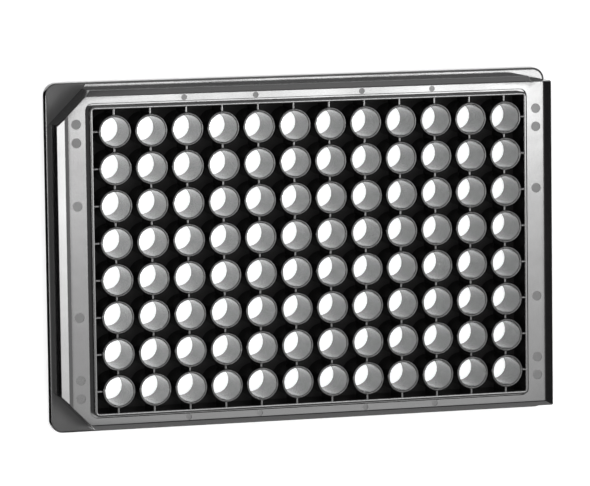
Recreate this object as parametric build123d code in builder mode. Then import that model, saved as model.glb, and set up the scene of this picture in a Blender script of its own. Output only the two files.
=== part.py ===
"""A 96-well microplate: one black moulding of open wells in a skirted frame, with a clear film under them.

The plate lies on its skirt with the wells facing up. The origin is the centre of the footprint, on the
surface that the plate stands on. +X runs along a row from the first column to the last, +Y runs up a
column from the last row to the first, and +Z points out of the wells. Lengths are in millimetres.

Plan sizes run outwards from the grid of wells, so that each band of the frame keeps its own width:
chimney, gap, rim, groove, face, shoulder and ledge add up to the standard footprint, 127.76 by 85.48.
"""

import os

from build123d import *

# Wells. They stand in a grid, and each is a slightly tapered bore in its own round chimney.
columns = 12
rows = 8
pitch = 9.0
mouth_diameter = 6.96
floor_diameter = 6.35
well_depth = 10.9
chimney_wall = 0.57
lip_chamfer = 0.12

# Heights. The drops are measured down from the chimney tops, the highest part of the plate.
plate_height = 14.4
rim_drop = 0.9
face_drop = 3.0
shoulder_drop = 1.2
web_thickness = 1.5
flange_height = 2.41
film_thickness = 0.19

# Bands of the frame, from the chimneys outwards. "ends" are the short sides, "sides" the long ones.
rim_gap_ends = 1.05
rim_gap_sides = 1.2
rim_thickness = 0.9
rim_corner_radius = 1.2
groove_width = 0.5
groove_depth = 0.5
face_width_ends = 4.85
face_width_sides = 1.85
shoulder_run_ends = 2.15
shoulder_run_sides = 1.3
shoulder_radius_ends = 2.0
shoulder_radius_sides = 0.4
ledge_ends = 0.88
ledge_sides = 1.44
foot_corner_radius = 3.0

# Outer wall in plan. The two corners beside the first column are cut at 45 degrees. Beside the last
# column, the far long wall stops short of the end and steps in to the edge of the face, and the near
# corner is square.
corner_length = 5.7
corner_cut = 8.3
wall_corner_radius = 0.4

# Moulded walls, seen from below.
skirt_thickness = 1.3
roof_thickness = 1.4
flange_shelf = 1.2
foot_thickness = 1.5
film_inset = 1.3

# Ribs brace the chimneys, and shallow round marks on the frame show where the plate left its mould.
rib_thickness = 0.7
mark_depth = 0.15
mark_diameter_ends = 2.4
mark_diameter_sides = 1.5
mark_columns = 1.5, 3.5
mark_rows = 1.5, 3.2, 3.7

# Plan of the well field.
grid_length = (columns - 1) * pitch
grid_width = (rows - 1) * pitch
chimney_diameter = mouth_diameter + 2 * chimney_wall
field_length = grid_length + chimney_diameter + 2 * rim_gap_ends
field_width = grid_width + chimney_diameter + 2 * rim_gap_sides
rim_length = field_length + 2 * rim_thickness
rim_width = field_width + 2 * rim_thickness
groove_length = rim_length + 2 * groove_width
groove_outer_width = rim_width + 2 * groove_width

# Plan of the frame and the footprint.
face_length = groove_length + 2 * face_width_ends
face_width = groove_outer_width + 2 * face_width_sides
wall_length = face_length + 2 * shoulder_run_ends
wall_width = face_width + 2 * shoulder_run_sides
foot_length = wall_length + 2 * ledge_ends
foot_width = wall_width + 2 * ledge_sides

# Levels above the base.
floor_level = plate_height - well_depth
web_top = floor_level + web_thickness
rim_top = plate_height - rim_drop
face_level = plate_height - face_drop
shoulder_level = face_level - shoulder_drop
roof_level = face_level - groove_depth - roof_thickness
rebate_level = flange_height - flange_shelf


def wall_plan(corner_radius):
    """Outline of the outer wall: two cut corners, then a stepped one at +Y and a square one at -Y."""
    end_x = wall_length / 2
    side_x = end_x - corner_length
    side_y = wall_width / 2
    step_y = face_width / 2
    outline = [
        (-end_x, corner_cut - side_y),
        (-end_x, side_y - corner_cut),
        (corner_cut - end_x, side_y),
        (side_x, side_y),
        (side_x, step_y),
        (end_x, step_y),
        (end_x, -side_y),
        (corner_cut - end_x, -side_y),
    ]
    with BuildSketch() as plan:
        with BuildLine():
            Polyline(*outline, close=True)
        make_face()
        if corner_radius > 0:
            fillet(plan.vertices(), corner_radius)
    return plan.sketch


def shoulder_trim(plane, wall_span, face_span, radius):
    """The two wedges above the sloped shoulders, in section. The slope runs smoothly into the face."""
    with BuildSketch(plane) as trim:
        with Locations((0, face_level)):
            Rectangle(wall_span, 2 * shoulder_drop)
        with BuildSketch(mode=Mode.SUBTRACT) as kept:
            Polygon(
                (-wall_span / 2, shoulder_level),
                (-face_span / 2, face_level),
                (face_span / 2, face_level),
                (wall_span / 2, shoulder_level),
                align=None,
            )
            fillet(kept.vertices().group_by(Axis.Y)[-1], radius)
    return trim.sketch


# One moulding: skirt, frame, rim, ribs and wells.
with BuildPart() as plate_body:
    # Foot flange and the solid block of the frame.
    with BuildSketch():
        RectangleRounded(foot_length, foot_width, foot_corner_radius)
    extrude(amount=flange_height)
    extrude(wall_plan(wall_corner_radius), amount=face_level)

    # Sloped shoulders, along the two ends and the two sides.
    extrude(
        shoulder_trim(Plane.XZ, wall_length, face_length, shoulder_radius_ends),
        amount=wall_width / 2,
        both=True,
        mode=Mode.SUBTRACT,
    )
    extrude(
        shoulder_trim(Plane.YZ, wall_width, face_width, shoulder_radius_sides),
        amount=wall_length / 2,
        both=True,
        mode=Mode.SUBTRACT,
    )

    # Hollow skirt around the well block, with a rebate in the foot that the plate below nests in.
    with BuildSketch() as channel:
        add(wall_plan(0))
        offset(amount=-skirt_thickness, kind=Kind.INTERSECTION)
        Rectangle(rim_length, rim_width, mode=Mode.SUBTRACT)
    extrude(amount=roof_level, mode=Mode.SUBTRACT)
    with BuildSketch():
        RectangleRounded(
            foot_length - 2 * foot_thickness,
            foot_width - 2 * foot_thickness,
            foot_corner_radius - foot_thickness,
        )
    extrude(amount=rebate_level, mode=Mode.SUBTRACT)

    # Space under the web.
    with BuildSketch():
        Rectangle(rim_length, rim_width)
    extrude(amount=floor_level, mode=Mode.SUBTRACT)

    # Raised rim, the groove round its foot, and the well field that it encloses.
    with BuildSketch(Plane.XY.offset(face_level)):
        RectangleRounded(groove_length, groove_outer_width, rim_corner_radius + groove_width)
        RectangleRounded(rim_length, rim_width, rim_corner_radius, mode=Mode.SUBTRACT)
    extrude(amount=-groove_depth, mode=Mode.SUBTRACT)
    with BuildSketch(Plane.XY.offset(face_level)):
        RectangleRounded(rim_length, rim_width, rim_corner_radius)
    extrude(amount=rim_top - face_level)
    with BuildSketch(Plane.XY.offset(web_top)):
        RectangleRounded(field_length, field_width, rim_corner_radius - rim_thickness)
    extrude(amount=rim_top - web_top, mode=Mode.SUBTRACT)

    # Ribs: one down each column from rim to rim, and short ones from the ends of each row to the rim.
    with BuildSketch(Plane.XY.offset(web_top)):
        with GridLocations(pitch, 0, columns, 1):
            Rectangle(rib_thickness, field_width)
        with GridLocations(grid_length + pitch, pitch, 2, rows):
            Rectangle(field_length - grid_length - pitch, rib_thickness)
    extrude(amount=rim_top - web_top)

    # Chimneys, their lips, and the tapered wells down through the web.
    with BuildSketch(Plane.XY.offset(web_top)):
        with GridLocations(pitch, pitch, columns, rows):
            Circle(chimney_diameter / 2)
    extrude(amount=plate_height - web_top)
    with Locations((0, 0, floor_level)):
        with GridLocations(pitch, pitch, columns, rows):
            Cone(
                floor_diameter / 2,
                mouth_diameter / 2,
                well_depth,
                align=(Align.CENTER, Align.CENTER, Align.MIN),
                mode=Mode.SUBTRACT,
            )
    lips = plate_body.edges().filter_by(GeomType.CIRCLE).group_by(Axis.Z)[-1]
    chamfer(lips, lip_chamfer)

    # Round marks in the face, in line with the gaps between wells.
    mark_x = (groove_length + face_length) / 4
    mark_y = (groove_outer_width + face_width) / 4
    with BuildSketch(Plane.XY.offset(face_level)):
        for count in mark_columns:
            with GridLocations(2 * count * pitch, 2 * mark_y, 2, 2):
                Circle(mark_diameter_sides / 2)
        for count in mark_rows:
            with GridLocations(2 * mark_x, 2 * count * pitch, 2, 2):
                Circle(mark_diameter_ends / 2)
    extrude(amount=-mark_depth, mode=Mode.SUBTRACT)

# Clear film, bonded under the web to close the wells.
with BuildPart() as clear_bottom:
    with BuildSketch(Plane.XY.offset(floor_level - film_thickness)):
        RectangleRounded(
            rim_length - 2 * film_inset,
            rim_width - 2 * film_inset,
            rim_corner_radius,
        )
    extrude(amount=film_thickness)

plate_body.part.label = "plate_body"
clear_bottom.part.label = "clear_bottom"

os.makedirs("parts", exist_ok=True)
export_step(plate_body.part, "parts/plate_body.step")
export_step(clear_bottom.part, "parts/clear_bottom.step")
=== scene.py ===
# %% [markdown]
# # A 96-well plate with a clear bottom
#
# The plate is one black moulding, full of small round wells, with a clear film bonded underneath.
# Almost everything the eye sees on it is a reflection: the plastic itself is nearly black, and the
# frame only looks silver because a lamp is mirrored in it. So the model needs three things: smooth,
# exactly placed surfaces, a small rounding on every edge, and lamps that stand where the plastic
# mirrors them.

# %% Open the measured solids
from math import copysign, radians, sqrt, tan

import bmesh
import bpy
from mathutils import Matrix, Vector


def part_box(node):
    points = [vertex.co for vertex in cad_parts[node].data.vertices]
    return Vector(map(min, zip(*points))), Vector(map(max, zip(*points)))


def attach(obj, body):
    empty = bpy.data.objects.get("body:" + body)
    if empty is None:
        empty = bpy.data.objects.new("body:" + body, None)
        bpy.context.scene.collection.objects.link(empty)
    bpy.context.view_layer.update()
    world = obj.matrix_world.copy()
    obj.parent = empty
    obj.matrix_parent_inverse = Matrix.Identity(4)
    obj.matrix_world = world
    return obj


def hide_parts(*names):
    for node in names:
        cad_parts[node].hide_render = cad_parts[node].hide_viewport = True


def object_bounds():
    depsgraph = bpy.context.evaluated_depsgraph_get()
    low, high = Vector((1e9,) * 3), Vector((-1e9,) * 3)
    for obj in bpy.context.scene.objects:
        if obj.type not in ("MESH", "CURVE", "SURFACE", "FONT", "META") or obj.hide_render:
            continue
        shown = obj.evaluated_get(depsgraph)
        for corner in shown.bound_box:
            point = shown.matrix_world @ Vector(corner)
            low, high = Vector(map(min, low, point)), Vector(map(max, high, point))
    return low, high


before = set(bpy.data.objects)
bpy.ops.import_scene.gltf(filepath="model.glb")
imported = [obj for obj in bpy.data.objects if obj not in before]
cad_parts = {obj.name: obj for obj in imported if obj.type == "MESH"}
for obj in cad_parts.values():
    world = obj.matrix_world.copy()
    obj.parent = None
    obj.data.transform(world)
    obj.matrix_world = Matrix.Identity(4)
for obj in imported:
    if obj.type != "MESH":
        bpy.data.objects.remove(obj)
cad_low, cad_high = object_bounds()
MM = 0.001
TOUCH = 1e-3
print("solids:", sorted(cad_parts), "size in mm:", [round(v / MM, 2) for v in cad_high - cad_low])

# %% [markdown]
# ## Sizes
#
# A drawing of a moulding is easiest to read as bands and levels. Bands are measured inwards from the
# edge of the footprint, and levels downwards from the mouths of the wells. The outer sizes come from the
# solids, so the skin drawn here can't drift away from them. Everything is in millimetres, and each mesh
# is scaled to metres once, when it is finished. Points closer than TOUCH count as one, or as level. The
# web stays a hair above the film, because two faces at exactly the same height would flicker.

# %% Levels and bands
FILM_GAP = 0.01
foot_x, foot_y, mouth_level = (v / MM for v in cad_high)
floor_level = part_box("clear_bottom")[1].z / MM
underside_level = floor_level + FILM_GAP
web_level = floor_level + 1.5
rim_level = mouth_level - 0.9
face_level = mouth_level - 3.0
groove_level = face_level - 0.5
shoulder_level = face_level - 1.2
roof_level = groove_level - 1.4
flange_level = 2.41
rebate_level = 1.21

wall_x, wall_y = foot_x - 0.88, foot_y - 1.44
face_x, face_y = wall_x - 2.15, wall_y - 1.3
groove_x, groove_y = face_x - 4.85, face_y - 1.85
rim_x, rim_y = groove_x - 0.5, groove_y - 0.5
field_x, field_y = rim_x - 0.9, rim_y - 0.9
print("face", round(face_x, 2), round(face_y, 2), "well field", round(field_x, 2), round(field_y, 2))

# %% The grid of wells
PITCH = 9.0
COLUMNS, ROWS = 12, 8
MOUTH_RADIUS = 3.48
FLOOR_RADIUS = 3.175
CHIMNEY_RADIUS = 4.05
column_x = [(i - (COLUMNS - 1) / 2) * PITCH for i in range(COLUMNS)]
row_y = [((ROWS - 1) / 2 - j) * PITCH for j in range(ROWS)]
print("wells:", len(column_x) * len(row_y), "first at", column_x[0], row_y[0])

# %% [markdown]
# ## Five moves
#
# The whole moulding is shaped by five moves. A vertex bevel turns a square into a rounded rectangle.
# An inset makes a parallel outline inside a face, with the corner radius that belongs to it. A push
# extrudes a face to another level. Once the walls stand, triangle_fill closes each flat around whatever
# openings lie in it. A rounding is a bevel along a closed chain of edges, and it comes last.

# %% Helpers for the five moves
def rounded_rectangle(bm, half_x, half_y, radius, level, segments):
    """A face with round corners, at one level."""
    place = Matrix.Translation((0, 0, level)) @ Matrix.Diagonal((half_x, half_y, 1, 1))
    square = bmesh.ops.create_grid(bm, x_segments=1, y_segments=1, size=1, matrix=place)
    corners = bmesh.ops.bevel(
        bm, geom=square["verts"], offset=radius, offset_type="OFFSET", segments=segments,
        profile=0.5, affect="VERTICES", material=-1,
    )
    return corners["verts"][0].link_faces[0]


def inset(bm, face, width):
    """Shrink a face by an even width, and leave a flat border round it."""
    bmesh.ops.inset_region(bm, faces=[face], thickness=width, use_boundary=True, use_even_offset=True)
    return face


def push(bm, face, level, keep=False):
    """Extrude a face to another level, and return the moved face."""
    made = bmesh.ops.extrude_face_region(bm, geom=[face])["geom"]
    moved = next(g for g in made if isinstance(g, bmesh.types.BMFace))
    for vert in moved.verts:
        vert.co.z = level
    if not keep:
        open_up(bm, face)
    return moved


def open_up(bm, *faces):
    """Remove faces, but leave their edges."""
    bmesh.ops.delete(bm, geom=faces, context="FACES_ONLY")


def round_edges(bm, edges, size, segments=3):
    """Round a chain of edges."""
    bmesh.ops.bevel(
        bm, geom=edges, offset=size, offset_type="OFFSET", segments=segments,
        profile=0.5, affect="EDGES", material=-1, clamp_overlap=False,
    )


def at_level(part, level):
    """Whether an edge or a face lies flat at this level."""
    return all(abs(v.co.z - level) < TOUCH for v in part.verts)


def open_edges(bm, level):
    """Edges at one level that have a face on one side only."""
    single = [e for e in bm.edges if len(e.link_faces) == 1]
    return [e for e in single if at_level(e, level)]


def fill_flat(bm, level):
    """Close every opening at one level. Outlines that lie inside others stay open."""
    bmesh.ops.triangle_fill(bm, use_beauty=True, use_dissolve=False, edges=open_edges(bm, level))


def join(bm, other):
    """Move a finished mesh into this one."""
    mesh = bpy.data.meshes.new("part")
    other.to_mesh(mesh)
    other.free()
    bm.from_mesh(mesh)
    bpy.data.meshes.remove(mesh)


print("helpers ready")

# %% [markdown]
# ## The block of the frame
#
# Seen from above, the block is a rectangle with three kinds of corner. The two beside the first column
# are cut at 45 degrees, so that a hand or a robot can tell which way round the plate is. Beside the last
# column the far one steps in, and the near one is square. The block could be cut out of a box with
# booleans. Extruding its outline twice is simpler, and leaves clean faces: once up to the shoulder, and
# once up to the face while the top points slide inwards, which makes the sloped shoulders.

# %% Block outline
CORNER_LENGTH = 5.7
CORNER_CUT = 8.3
side_x = wall_x - CORNER_LENGTH


def wall_outline(thickness=0.0):
    """Points round the outer wall, or round the inside of a wall of this thickness."""
    end, side, step = wall_x - thickness, side_x - thickness, face_y - thickness
    long_side = wall_y - thickness
    cut = wall_x + wall_y - CORNER_CUT - thickness * sqrt(2)
    far = [(-end, cut - end), (long_side - cut, long_side), (side, long_side), (side, step), (end, step)]
    near = [(end, -long_side), (long_side - cut, -long_side), (-end, end - cut)]
    return far + near


print("corners of the wall:", [(round(x, 1), round(y, 1)) for x, y in wall_outline()])

# %% Raise the block
block = bmesh.new()
block_base = block.faces.new([block.verts.new((x, y, flange_level)) for x, y in wall_outline()])
block_top = push(block, block_base, shoulder_level, keep=True)
block_top = push(block, block_top, face_level)
for vert in block_top.verts:
    x, y = vert.co.x, vert.co.y
    on_end, on_side = abs(x) > wall_x - TOUCH, abs(y) > wall_y - TOUCH
    if on_end:
        vert.co.x -= copysign(wall_x - face_x, x)
        vert.co.y += copysign(wall_x - face_x, y) if x < 0 else 0
    if on_side:
        vert.co.y -= copysign(wall_y - face_y, y)
        vert.co.x -= wall_y - face_y if x < 0 else 0
bmesh.ops.remove_doubles(block, verts=block.verts, dist=TOUCH)
bmesh.ops.dissolve_limit(block, angle_limit=radians(1), verts=block.verts, edges=block.edges)
bmesh.ops.recalc_face_normals(block, faces=block.faces)
print("block faces:", len(block.faces), "open edges:", sum(len(e.link_faces) != 2 for e in block.edges))

# %% [markdown]
# ## Rounding the block
#
# No moulded edge is perfectly sharp, and each rounding shows as a thin line of light. The upper edges of
# the two end shoulders are the softest, with a 2 mm radius, and the rest only just take the sharpness
# off. A Bevel modifier reads how far to cut from each edge's own weight, so one modifier gives every
# edge its own size. How far to cut comes from the radius and from how much the surface turns there, and
# only the upper edges of the long sides get their cut directly. Afterwards the two large flats are
# opened again, for the groove above and the skirt below.

# %% Round each edge of the block by its own radius
def cut_back(edge, radius):
    """How far a rounding of this radius reaches from the edge."""
    return radius * tan(edge.calc_face_angle() / 2)


UPRIGHT_RADIUS = 0.4
END_RADIUS = 2.0
SHOULDER_RADIUS = 0.25
SIDE_CUT = 0.16
LARGE_FLAT = 5000
weights = block.edges.layers.float.new("bevel_weight_edge")
for edge in block.edges:
    low, high = sorted(v.co.z for v in edge.verts)
    middle = (edge.verts[0].co + edge.verts[1].co) / 2
    if high - low > 1:
        edge[weights] = cut_back(edge, UPRIGHT_RADIUS)
    elif low > face_level - TOUCH:
        on_end = abs(middle.x) > face_x - TOUCH
        edge[weights] = cut_back(edge, END_RADIUS) if on_end else SIDE_CUT
    elif low > shoulder_level - TOUCH:
        edge[weights] = cut_back(edge, SHOULDER_RADIUS)

rough = bpy.data.objects.new("block", bpy.data.meshes.new("block"))
block.to_mesh(rough.data)
bpy.context.scene.collection.objects.link(rough)
rounding = rough.modifiers.new("rounding", "BEVEL")
rounding.limit_method = "WEIGHT"
rounding.offset_type = "OFFSET"
rounding.width = 1.0
rounding.segments = 4
rounding.use_clamp_overlap = False

plate = bmesh.new()
plate.from_object(rough, bpy.context.evaluated_depsgraph_get())
bpy.data.objects.remove(rough)
block.free()
flat_ends = [f for f in plate.faces if abs(f.normal.z) > 0.999 and f.calc_area() > LARGE_FLAT]
open_up(plate, *flat_ends)
print("rounded block faces:", len(plate.faces), "flat ends opened:", len(flat_ends))

# %% [markdown]
# ## Rim and groove
#
# Inside the face, a groove runs round a thin raised rim, and the rim walls in the well field. It is
# made like a picture frame, by walking inwards over the profile: in to the groove, down, in to the
# rim, up, in over its top, and down to the web. A narrow border of face comes first, so that the edge of
# the groove has a flat beside it to be rounded into.

# %% Rim and groove
BORDER = 0.15
GROOVE_RADIUS = 1.7
RIM_ROUNDING = 0.3
GROOVE_ROUNDING = 0.1
opening_x, opening_y = groove_x + BORDER, groove_y + BORDER
ring = rounded_rectangle(plate, opening_x, opening_y, GROOVE_RADIUS + BORDER, face_level, segments=8)
ring = inset(plate, ring, BORDER)
groove_edge = ring.edges[:]
ring = push(plate, ring, groove_level)
ring = inset(plate, ring, groove_x - rim_x)
ring = push(plate, ring, rim_level)
rim_edges = ring.edges[:]
ring = inset(plate, ring, rim_x - field_x)
rim_edges += ring.edges[:]
ring = push(plate, ring, web_level)
open_up(plate, ring)
round_edges(plate, rim_edges, RIM_ROUNDING)
round_edges(plate, groove_edge, GROOVE_ROUNDING, segments=2)
print("faces after the rim:", len(plate.faces))

# %% [markdown]
# ## Foot flange and skirt
#
# The flange stands on the bench. A rebate inside it lets the plate below nest into it, and above the
# rebate the skirt is hollow up to a roof, so the frame is a thin shell like every good moulding.

# %% Foot flange, outside and inside
FOOT_RADIUS = 3.0
FOOT_WIDTH = 1.5
LEDGE_BORDER = 0.6
LEDGE_ROUNDING = 0.3
SOLE_ROUNDING = 0.2
sole = rounded_rectangle(plate, foot_x, foot_y, FOOT_RADIUS, 0, segments=10)
ledge = push(plate, sole, flange_level, keep=True)
ledge_edge = ledge.edges[:]
ledge = inset(plate, ledge, LEDGE_BORDER)
foot_edges = sole.edges[:]
sole = inset(plate, sole, FOOT_WIDTH)
foot_edges += sole.edges[:]
sole = push(plate, sole, rebate_level)
open_up(plate, ledge, sole)
round_edges(plate, ledge_edge, LEDGE_ROUNDING)
round_edges(plate, foot_edges, SOLE_ROUNDING)
print("faces after the flange:", len(plate.faces))


# %% Inner walls of the skirt
SKIRT_THICKNESS = 1.3


def upright(bm, corners, low, high):
    """Walls round a list of corners."""
    base = bm.faces.new([bm.verts.new((x, y, low)) for x, y in corners])
    open_up(bm, base, push(bm, base, high, keep=True))


upright(plate, wall_outline(SKIRT_THICKNESS), rebate_level, roof_level)
rim_corners = [(rim_x, rim_y), (-rim_x, rim_y), (-rim_x, -rim_y), (rim_x, -rim_y)]
upright(plate, rim_corners, underside_level, roof_level)
print("faces after the skirt:", len(plate.faces))

# %% [markdown]
# ## Mould marks
#
# Twenty shallow round marks lie in the face, where pins pushed the plate out of its mould. Each is a
# small disc pushed down a little. They come before the face is filled, so that the fill leaves their
# openings free. Along the rows and columns, their places are counted in steps of the wells' pitch. The
# ones on the long sides lie just inside the middle of the face, clear of the shoulder's rounding.

# %% Mould marks
POLISHED, SATIN, ETCHED, MATT = range(4)
SIDE_MARK_RADIUS = 0.72
END_MARK_RADIUS = 1.2
MARK_DEPTH = 0.15
MARK_CLEARANCE = 0.03
QUARTERS = [(sign_x, sign_y) for sign_x in (-1, 1) for sign_y in (-1, 1)]
mark_x, mark_y = (groove_x + face_x) / 2, (groove_y + face_y) / 2 - MARK_CLEARANCE
marks = [(u * n * PITCH, v * mark_y, SIDE_MARK_RADIUS) for n in (1.5, 3.5) for u, v in QUARTERS]
marks += [(u * mark_x, v * n * PITCH, END_MARK_RADIUS) for n in (1.5, 3.2, 3.7) for u, v in QUARTERS]
for x, y, radius in marks:
    place = Matrix.Translation((x, y, face_level))
    disc = bmesh.ops.create_circle(plate, cap_ends=True, radius=radius, segments=24, matrix=place)
    push(plate, disc["verts"][0].link_faces[0], face_level - MARK_DEPTH).material_index = SATIN
print("marks:", len(marks))

# %% [markdown]
# ## One well, ninety-six times
#
# A well is a round chimney with a bore through it. A disc on the web is pushed up into the chimney,
# inset to the mouth, and pushed back down through the web. At the bottom it is a little narrower, which
# lets the mould pull out of it. The web between the chimneys is left open for now: it is easier to fill
# around all of them at once than to fit squares together.

# %% One well
SEGMENTS = 48
LIP_ROUNDING = 0.24
well = bmesh.new()
place = Matrix.Translation((0, 0, web_level))
circle = bmesh.ops.create_circle(
    well, cap_ends=True, radius=CHIMNEY_RADIUS, segments=SEGMENTS, matrix=place,
)
disc = push(well, circle["verts"][0].link_faces[0], mouth_level)
lip_edges = disc.edges[:]
disc = inset(well, disc, CHIMNEY_RADIUS - MOUTH_RADIUS)
lip_edges += disc.edges[:]
disc = push(well, disc, underside_level)
taper = FLOOR_RADIUS / MOUTH_RADIUS
bmesh.ops.scale(well, verts=disc.verts, vec=(taper, taper, 1))
open_up(well, disc)
round_edges(well, lip_edges, LIP_ROUNDING)
print("faces in one well:", len(well.faces))


# %% Copy it over the grid
def repeat(bm, count, step):
    """Copy the whole mesh in a straight line."""
    everything = bm.verts[:] + bm.edges[:] + bm.faces[:]
    for i in range(1, count):
        copy = bmesh.ops.duplicate(bm, geom=everything)["geom"]
        points = [g for g in copy if isinstance(g, bmesh.types.BMVert)]
        bmesh.ops.translate(bm, verts=points, vec=Vector(step) * i)


bmesh.ops.translate(well, verts=well.verts, vec=(column_x[0], row_y[0], 0))
repeat(well, COLUMNS, (PITCH, 0, 0))
repeat(well, ROWS, (0, -PITCH, 0))
join(plate, well)
print("faces with all wells:", len(plate.faces))

# %% [markdown]
# ## Filling the flats
#
# Every open edge now lies on one of six flat levels. One fill for each level closes the moulding. The
# volume is a good test: a wall turned inside out or a face across an opening would change it at once.

# %% Fill every flat
for level in (face_level, roof_level, web_level, underside_level, flange_level, rebate_level):
    fill_flat(plate, level)
bmesh.ops.recalc_face_normals(plate, faces=plate.faces)
loose = sum(len(e.link_faces) != 2 for e in plate.edges)
print("faces:", len(plate.faces), "edges not shared by two faces:", loose)
print("volume in cubic mm:", round(plate.calc_volume(signed=True)))

# %% [markdown]
# ## Etched and matt faces
#
# Not every face of a mould is polished. The flats of the underside and the two outer corners of the foot
# beside the first column are etched, and the web between the chimneys is matt. The ledge of the foot is
# one face all round, so it is first cut along the lines of the two slanted walls.

# %% Give those faces their finish
corner_reach = (wall_x + wall_y - CORNER_CUT) / sqrt(2)
for side in (-1, 1):
    shelf = [f for f in plate.faces if f.normal.z > 0.9 and at_level(f, flange_level)]
    parts = shelf + list({e for f in shelf for e in f.edges}) + list({v for f in shelf for v in f.verts})
    outwards = Vector((-1, side, 0)).normalized()
    on_line = outwards * corner_reach
    bmesh.ops.bisect_plane(plate, geom=parts, plane_co=on_line, plane_no=outwards, dist=1e-4)
for face in plate.faces:
    middle = face.calc_center_median()
    in_corner = (abs(middle.y) - middle.x) / sqrt(2) > corner_reach and at_level(face, flange_level)
    if face.normal.z < -0.9 or in_corner:
        face.material_index = ETCHED
    elif at_level(face, web_level):
        face.material_index = MATT
print("etched faces:", sum(f.material_index == ETCHED for f in plate.faces))

# %% [markdown]
# ## Ribs
#
# Thin ribs stiffen the chimneys: each column has one that runs from rim to rim, and short ones tie the
# ends of the rows to the rim. Only the lengths between chimneys can be seen, so each of those is its
# own narrow bar. Its ends are buried in the chimney walls, but stay clear of the bores, and the outer
# ones end inside the rim. The tops stop a hair below the rim's, so that these don't flicker either.

# %% Ribs between the chimneys
RIB = 0.7
RIB_ROUNDING = 0.25
BURIED = 0.15
BURIED_IN_RIM = 0.25
BURIED_IN_WEB = 0.3
HAIR = 0.02
ribs = bmesh.new()


def rib(x_low, x_high, y_low, y_high):
    """A bar from inside the web up to the rim, with softened upper edges."""
    z_low, z_high = web_level - BURIED_IN_WEB, rim_level - HAIR
    size = Vector((x_high - x_low, y_high - y_low, z_high - z_low))
    middle = Vector((x_low + x_high, y_low + y_high, z_low + z_high)) / 2
    place = Matrix.Translation(middle) @ Matrix.Diagonal((*size, 1))
    bar = bmesh.ops.create_cube(ribs, size=1, matrix=place)
    along = Vector((1, 0, 0)) if size.x > size.y else Vector((0, 1, 0))
    top = {v for v in bar["verts"] if v.co.z > middle.z}
    edges = {e for v in top for e in v.link_edges if e.other_vert(v) in top}
    long_edges = [e for e in edges if abs((e.verts[0].co - e.verts[1].co).normalized() @ along) > 0.9]
    round_edges(ribs, long_edges, RIB_ROUNDING)


def both_sides(low, high):
    """An interval, and its mirror image."""
    return (low, high), (-high, -low)


reach = CHIMNEY_RADIUS - BURIED
for x in column_x:
    for upper, lower in zip(row_y, row_y[1:]):
        rib(x - RIB / 2, x + RIB / 2, lower + reach, upper - reach)
    for interval in both_sides(row_y[0] + reach, field_y + BURIED_IN_RIM):
        rib(x - RIB / 2, x + RIB / 2, *interval)
for y in row_y:
    for interval in both_sides(column_x[-1] + reach, field_x + BURIED_IN_RIM):
        rib(*interval, y - RIB / 2, y + RIB / 2)
bmesh.ops.recalc_face_normals(ribs, faces=ribs.faces)
print("rib faces:", len(ribs.faces))
join(plate, ribs)

# %% [markdown]
# ## From drawing to piece
#
# The mesh is finished in millimetres, so it is scaled to metres here. Smooth shading makes the round
# walls round, and every edge that still turns sharply is marked so that it stays crisp. A Weighted
# Normal modifier then keeps the large flats truly flat beside their roundings, which matters on a
# surface that works as a mirror.

# %% Finish the plate's mesh
CRISP = radians(38)


def piece_from(bm, name):
    """Make an object from a mesh drawn in millimetres."""
    bmesh.ops.scale(bm, verts=bm.verts, vec=(MM, MM, MM))
    for face in bm.faces:
        face.smooth = True
    for edge in bm.edges:
        edge.smooth = edge.is_manifold and edge.calc_face_angle() < CRISP
    mesh = bpy.data.meshes.new(name)
    bm.to_mesh(mesh)
    bm.free()
    piece = bpy.data.objects.new(name, mesh)
    bpy.context.scene.collection.objects.link(piece)
    normals = piece.modifiers.new("flat beside round", "WEIGHTED_NORMAL")
    normals.keep_sharp = True
    return piece


moulding = piece_from(plate, "moulding")
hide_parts("plate_body")
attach(moulding, "root")
print("triangles:", sum(len(p.vertices) - 2 for p in moulding.data.polygons))

# %% [markdown]
# ## Black polystyrene
#
# Polished polystyrene is a very dark, slightly warm black under a clear gloss. Its refractive index of
# 1.59 gives it stronger reflections than most plastics. A real moulding is never a perfect mirror: flow
# of the melt leaves broad, faint changes of gloss, and handling leaves a fine grain. Both are patterns
# on Object coordinates, so they stay in place on the plate. The broad one varies the roughness and the
# colour and leaves the flats slightly wavy, and the fine one gives a bump of a few microns, or of some
# tens on the rougher finishes. The four finishes differ only in their tints, their gloss and their grain:
# polished for most of the plate, satin in the mould marks, and the etched and matt ones chosen above.

# %% Black polystyrene finish
POLYSTYRENE_IOR = 1.59
FLOW_HEIGHT = 6e-5
FLOW_SCALE = 55


def shader(material):
    """The Principled shader of a new material, with its node tree."""
    material.use_nodes = True
    tree = material.node_tree
    return tree, tree.nodes["Principled BSDF"]


def ramp(tree, source, low, high, start=0.3, end=0.7):
    """Map a pattern's middle range onto two values."""
    node = tree.nodes.new("ShaderNodeMapRange")
    for name, value in (("From Min", start), ("From Max", end), ("To Min", low), ("To Max", high)):
        node.inputs[name].default_value = value
    tree.links.new(source, node.inputs["Value"])
    return node.outputs["Result"]


def noise(tree, coordinates, scale, detail, roughness=0.5):
    """A noise pattern, with its scale in cycles for each metre."""
    node = tree.nodes.new("ShaderNodeTexNoise")
    node.inputs["Scale"].default_value = scale
    node.inputs["Detail"].default_value = detail
    node.inputs["Roughness"].default_value = roughness
    tree.links.new(coordinates, node.inputs["Vector"])
    return node.outputs["Fac"]


def bump(tree, pattern, height):
    """Relief in the shape of a pattern, this high in metres."""
    node = tree.nodes.new("ShaderNodeBump")
    node.inputs["Strength"].default_value = 1.0
    node.inputs["Distance"].default_value = height
    tree.links.new(pattern, node.inputs["Height"])
    return node


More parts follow.
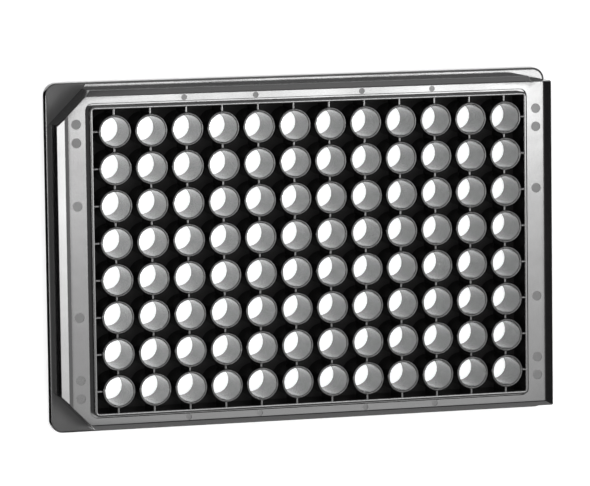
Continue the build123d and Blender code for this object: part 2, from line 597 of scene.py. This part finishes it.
def black_plastic(name, dark, light, gloss, grain_scale, grain_height):
    """Black polystyrene with its two tints, its range of roughness, and the size of its grain."""
    material = bpy.data.materials.new(name)
    tree, plastic = shader(material)
    plastic.inputs["IOR"].default_value = POLYSTYRENE_IOR
    place = tree.nodes.new("ShaderNodeTexCoord").outputs["Object"]
    flow = noise(tree, place, scale=FLOW_SCALE, detail=3)
    tree.links.new(ramp(tree, flow, *gloss), plastic.inputs["Roughness"])

    tint = tree.nodes.new("ShaderNodeMix")
    tint.data_type = "RGBA"
    tint.inputs["A"].default_value = (*dark, 1)
    tint.inputs["B"].default_value = (*light, 1)
    tree.links.new(ramp(tree, flow, 0, 1), tint.inputs["Factor"])
    tree.links.new(tint.outputs["Result"], plastic.inputs["Base Color"])

    wave = bump(tree, flow, FLOW_HEIGHT)
    grain = bump(tree, noise(tree, place, scale=grain_scale, detail=2), grain_height)
    tree.links.new(wave.outputs["Normal"], grain.inputs["Normal"])
    tree.links.new(grain.outputs["Normal"], plastic.inputs["Normal"])
    print("finish:", name, "roughness", gloss)
    return material


polished = black_plastic(
    "polished black polystyrene", dark=(0.004, 0.004, 0.0045), light=(0.007, 0.0065, 0.0065),
    gloss=(0.10, 0.17), grain_scale=2600, grain_height=2.4e-6,
)
satin = black_plastic(
    "satin black polystyrene", dark=(0.006, 0.006, 0.0065), light=(0.012, 0.011, 0.011),
    gloss=(0.26, 0.34), grain_scale=1500, grain_height=5e-6,
)
etched = black_plastic(
    "etched black polystyrene", dark=(0.006, 0.006, 0.0065), light=(0.016, 0.015, 0.015),
    gloss=(0.42, 0.58), grain_scale=700, grain_height=4e-5,
)
matt = black_plastic(
    "matt black polystyrene", dark=(0.004, 0.004, 0.0045), light=(0.007, 0.0065, 0.0065),
    gloss=(0.75, 0.85), grain_scale=1100, grain_height=2e-5,
)
for finish in (polished, satin, etched, matt):
    moulding.data.materials.append(finish)

# %% [markdown]
# ## Clear film
#
# The film under the wells is the solid from model.glb, and only gets its finish here. It is clear
# polystyrene, so it transmits all light and reflects about 5 per cent of it. A refracting solid would
# cast a dark shadow in a renderer, because a lamp isn't found through it. The light that passes
# straight through such a thin film is hardly bent, so shadow rays are simply let through it.

# %% Clear film finish
clear = bpy.data.materials.new("clear polystyrene film")
tree, film = shader(clear)
film.inputs["Base Color"].default_value = (0.96, 0.97, 0.97, 1)
film.inputs["IOR"].default_value = POLYSTYRENE_IOR
film.inputs["Transmission Weight"].default_value = 1.0
place = tree.nodes.new("ShaderNodeTexCoord").outputs["Object"]
haze = noise(tree, place, scale=140, detail=4)
tree.links.new(ramp(tree, haze, 0.01, 0.05), film.inputs["Roughness"])

passing = tree.nodes.new("ShaderNodeBsdfTransparent")
passing.inputs["Color"].default_value = (0.9, 0.91, 0.91, 1)
rays = tree.nodes.new("ShaderNodeLightPath")
share = tree.nodes.new("ShaderNodeMixShader")
tree.links.new(rays.outputs["Is Shadow Ray"], share.inputs["Fac"])
tree.links.new(film.outputs["BSDF"], share.inputs[1])
tree.links.new(passing.outputs["BSDF"], share.inputs[2])
tree.links.new(share.outputs["Shader"], tree.nodes["Material Output"].inputs["Surface"])

clear_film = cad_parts["clear_bottom"]
clear_film.data.materials.clear()
clear_film.data.materials.append(clear)
print("film material slots:", [m.name for m in clear_film.data.materials])

# %% [markdown]
# ## Floor
#
# A plate like this is shown on plain white. The floor is a matt white sheet with a little glow of its
# own that only the camera and the mirror-like rays can see. It lifts the sheet to white and still lets
# the plate's shadow show, and it adds no light to the plate. Rays that come through the clear film see
# the floor at full white, as on a light table, so the wells look open and bright.

# %% White floor
FLOOR_HALF_SIZE = 4
FLOOR_GLOW = 0.25
sheet = bmesh.new()
bmesh.ops.create_grid(sheet, x_segments=1, y_segments=1, size=FLOOR_HALF_SIZE)
floor_mesh = bpy.data.meshes.new("floor")
sheet.to_mesh(floor_mesh)
sheet.free()
floor = bpy.data.objects.new("floor", floor_mesh)
bpy.context.scene.collection.objects.link(floor)

white = bpy.data.materials.new("white_floor")
tree, paint = shader(white)
paint.inputs["Base Color"].default_value = (0.86, 0.86, 0.86, 1)
paint.inputs["Roughness"].default_value = 0.9
paint.inputs["Specular IOR Level"].default_value = 0.0
rays = tree.nodes.new("ShaderNodeLightPath")
seen = tree.nodes.new("ShaderNodeMath")
seen.operation = "MAXIMUM"
tree.links.new(rays.outputs["Is Camera Ray"], seen.inputs[0])
tree.links.new(rays.outputs["Is Glossy Ray"], seen.inputs[1])
glow = tree.nodes.new("ShaderNodeMath")
glow.operation = "MULTIPLY_ADD"
glow.use_clamp = True
glow.inputs[1].default_value = FLOOR_GLOW
tree.links.new(seen.outputs["Value"], glow.inputs[0])
tree.links.new(rays.outputs["Is Transmission Ray"], glow.inputs[2])
paint.inputs["Emission Color"].default_value = (1, 1, 1, 1)
tree.links.new(glow.outputs["Value"], paint.inputs["Emission Strength"])
floor_mesh.materials.append(white)
print("floor glow:", FLOOR_GLOW)

# %% [markdown]
# ## Lamps
#
# A black mirror shows the lamps themselves, so each lamp is placed by the law of reflection. The large
# softbox hangs where the flat face mirrors it into the camera. It is brightest along its far edge and
# fades towards the near one, and that is what shades the frame from light to dark. The second lamp
# stands where the left shoulder mirrors it. Between the two it is dark, which draws the dark line along
# that edge. The third is a large, weak panel low down behind the plate, for the far shoulder.

# %% A lamp panel that fades across
def aimed(place, target):
    """Where something stands and how it is turned when it looks at a target, with +Y upwards."""
    back = (place - target).normalized()
    across = Vector((0, 1, 0)).cross(back).normalized()
    return Matrix.Translation(place) @ Matrix((across, back.cross(across), back)).transposed().to_4x4()


def lamp_panel(name, centre, half_width, half_height, base, rise=0.0, across=0.0, up=0.0):
    """A glowing panel that faces the plate. On top of its base strength it has a part that grows
    exponentially along its width and height."""
    bm = bmesh.new()
    bmesh.ops.create_grid(bm, x_segments=1, y_segments=1, size=1)
    mesh = bpy.data.meshes.new(name)
    bm.to_mesh(mesh)
    bm.free()
    panel = bpy.data.objects.new(name, mesh)
    size = Matrix.Diagonal((half_width, half_height, 1, 1))
    panel.matrix_world = aimed(Vector(centre), Vector()) @ size
    bpy.context.scene.collection.objects.link(panel)
    panel.visible_camera = False
    panel.visible_shadow = False

    material = bpy.data.materials.new(name)
    material.use_nodes = True
    tree = material.node_tree
    tree.nodes.remove(tree.nodes["Principled BSDF"])
    slope = tree.nodes.new("ShaderNodeVectorMath")
    slope.operation = "DOT_PRODUCT"
    slope.inputs[1].default_value = (across, up, 0)
    tree.links.new(tree.nodes.new("ShaderNodeTexCoord").outputs["Object"], slope.inputs[0])
    growth = tree.nodes.new("ShaderNodeMath")
    growth.operation = "EXPONENT"
    tree.links.new(slope.outputs["Value"], growth.inputs[0])
    level = tree.nodes.new("ShaderNodeMath")
    level.operation = "MULTIPLY_ADD"
    level.inputs[1].default_value = rise
    level.inputs[2].default_value = base
    tree.links.new(growth.outputs["Value"], level.inputs[0])
    glow = tree.nodes.new("ShaderNodeEmission")
    tree.links.new(level.outputs["Value"], glow.inputs["Strength"])
    tree.links.new(glow.outputs["Emission"], tree.nodes["Material Output"].inputs["Surface"])
    mesh.materials.append(material)
    return panel


softbox = lamp_panel(
    "softbox", (0.295, -0.125, 1.0), half_width=0.170, half_height=0.120,
    base=4.3, rise=3.0, across=0.15, up=2.3,
)
side_lamp = lamp_panel(
    "side_lamp", (-0.70, -0.112, 0.70), half_width=0.10, half_height=0.11,
    base=0.0, rise=14.5, up=0.8,
)
back_lamp = lamp_panel(
    "back_lamp", (0.28, 0.94, 0.20), half_width=0.35, half_height=0.12, base=1.8,
)
print("lamps:", softbox.name, side_lamp.name, back_lamp.name)

# %% [markdown]
# ## Surroundings
#
# The room gives an even light from above, like a white ceiling, and is nearly dark on every side, so that
# the edges that mirror the sides stay black. The world shader reads the direction that it is seen in, and
# compares it with the direction of the ceiling's middle. Their cosine runs from 1 in the middle down to
# CEILING_EDGE, where the ceiling has faded out.

# %% Room with a bright ceiling
WALLS, CEILING = 0.08, 2.1
CEILING_EDGE, CEILING_FULL = 0.62, 0.90
world = bpy.data.worlds.new("room")
bpy.context.scene.world = world
world.use_nodes = True
tree = world.node_tree
ceiling = tree.nodes.new("ShaderNodeVectorMath")
ceiling.operation = "DOT_PRODUCT"
ceiling.inputs[1].default_value = Vector((-0.10, 0.15, 0.98)).normalized()
tree.links.new(tree.nodes.new("ShaderNodeTexCoord").outputs["Generated"], ceiling.inputs[0])
facing = ceiling.outputs["Value"]
room_light = ramp(tree, facing, WALLS, CEILING, start=CEILING_EDGE, end=CEILING_FULL)
tree.links.new(room_light, tree.nodes["Background"].inputs["Strength"])
tree.nodes["Background"].inputs["Color"].default_value = (1, 1, 1, 1)
bpy.context.scene.view_settings.view_transform = "Standard"
print("world:", world.name)

# %% [markdown]
# ## Painted shade beside the plate
#
# The plate's left side mirrors the white sheet, which would make it grey against white. A near-black card
# lies beside it as painted shade: only mirror-like rays see it, so the left side mirrors it as a dark
# reflection while the sheet still looks white there.

# %% Painted shade card on the left
CARD_HALF_WIDTH, CARD_HALF_LENGTH = 0.030, 0.060
CARD_LIFT = 5e-5
bm = bmesh.new()
beside = Matrix.Translation((cad_low.x - CARD_HALF_WIDTH, 0, CARD_LIFT))
place = beside @ Matrix.Diagonal((CARD_HALF_WIDTH, CARD_HALF_LENGTH, 1, 1))
bmesh.ops.create_grid(bm, x_segments=1, y_segments=1, size=1, matrix=place)
card_mesh = bpy.data.meshes.new("painted_shade_card")
bm.to_mesh(card_mesh)
bm.free()
card = bpy.data.objects.new("painted_shade_card", card_mesh)
bpy.context.scene.collection.objects.link(card)
shade_card_paint = bpy.data.materials.new("painted_shade_card")
shade_card_shader = shader(shade_card_paint)[1]
# Painted shade: this near-black card shows only in the plate's reflections, never to the camera or the
# lamps.
shade_card_shader.inputs["Base Color"].default_value = (0.003, 0.003, 0.003, 1)
shade_card_shader.inputs["Specular IOR Level"].default_value = 0.0
card_mesh.materials.append(shade_card_paint)
card.visible_camera = False
card.visible_diffuse = False
card.visible_transmission = False
card.visible_shadow = False
print("card:", [round(v, 3) for v in card.dimensions])

# %% [markdown]
# ## Camera
#
# The camera looks down from over the upper left corner with a long lens. The plate fills the frame
# from a metre away with hardly any perspective, which keeps the rows of wells nearly parallel.

# %% Camera
FOCAL_LENGTH = 265.9
ROLL = radians(-0.732)
eye = Vector((-299.0, 118.1, 1028.5)) * MM
target = Vector((-4.90, 2.72, mouth_level)) * MM
lens = bpy.data.cameras.new("camera")
lens.sensor_width = 36.0
lens.lens = FOCAL_LENGTH
lens.clip_start = 0.01
lens.clip_end = 20.0
camera = bpy.data.objects.new("camera", lens)
camera.matrix_world = aimed(eye, target) @ Matrix.Rotation(ROLL, 4, "Z")
bpy.context.scene.collection.objects.link(camera)
bpy.context.scene.camera = camera
print("camera distance:", round((target - eye).length, 3))
